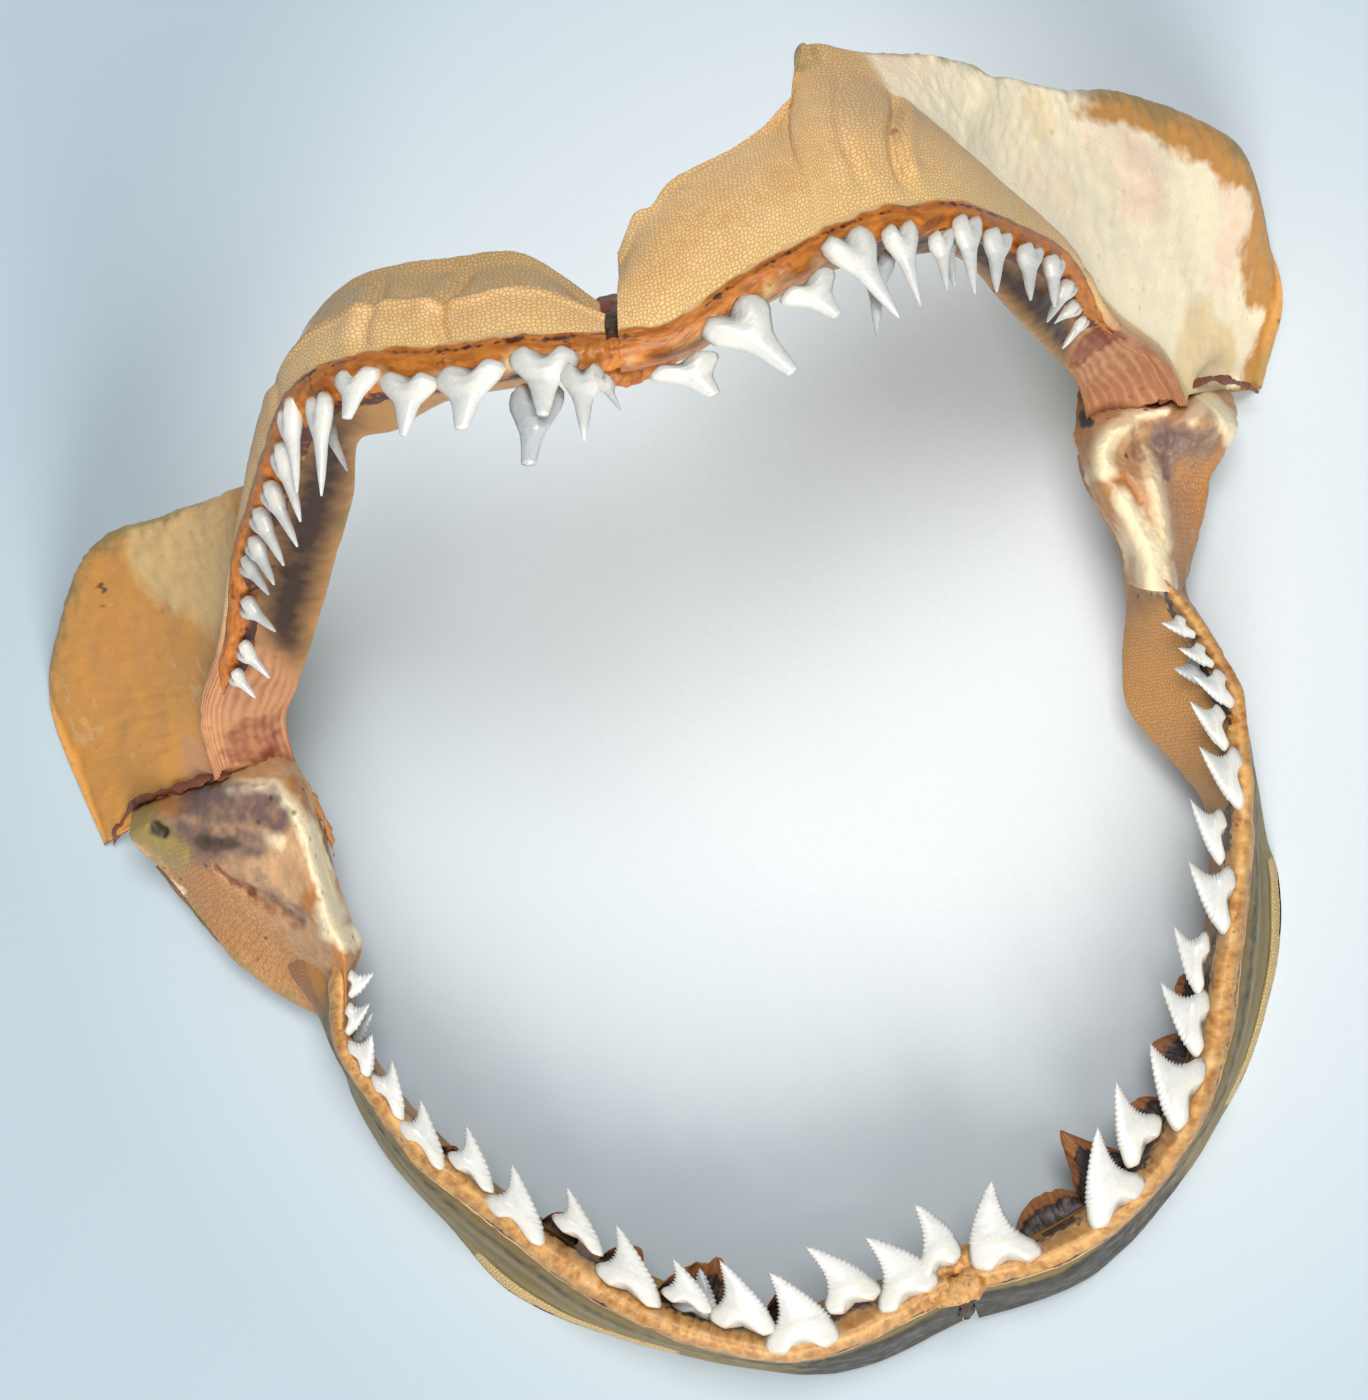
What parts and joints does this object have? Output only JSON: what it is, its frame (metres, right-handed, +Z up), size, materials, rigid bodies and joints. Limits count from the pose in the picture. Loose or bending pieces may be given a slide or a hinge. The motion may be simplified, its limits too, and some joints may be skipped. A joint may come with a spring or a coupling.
{
  "type": "dried shark jaws, open",
  "caption": "Dried jaws of a requiem shark lying open: upper arch flat, lower arch raised, with toothed rims and flared wings.",
  "frame": {"origin": "middle of the footprint, on the surface that the specimen lies on", "axes": "+Z up, +Y towards the lower jaw's symphysis, -Y towards the upper jaw's symphysis, +X towards the animal's right side"},
  "size_m": [0.328, 0.288, 0.1991],
  "materials": {
    "cartilage_lower": "dried cartilage, tan, fine mosaic of pale tiles, cream and ochre wings",
    "cartilage_upper": "dried cartilage, greenish grey outer face, brown near the joint",
    "teeth": "glossy off-white enamel, ivory roots",
    "tissue": "dried ligament and joint capsule, brown"
  },
  "bodies": {
    "root": {"lower_jaw_right": "cartilage_lower", "lower_jaw_left": "cartilage_lower", "upper_jaw_right": "cartilage_upper", "upper_jaw_left": "cartilage_upper", "lower_teeth_right": "teeth", "lower_teeth_left": "teeth", "upper_teeth_right": "teeth", "upper_teeth_left": "teeth", "lower_symphysis": "tissue", "upper_symphysis": "tissue", "jaw_joint_right": "tissue", "jaw_joint_left": "tissue"}
  },
  "joints": []
}
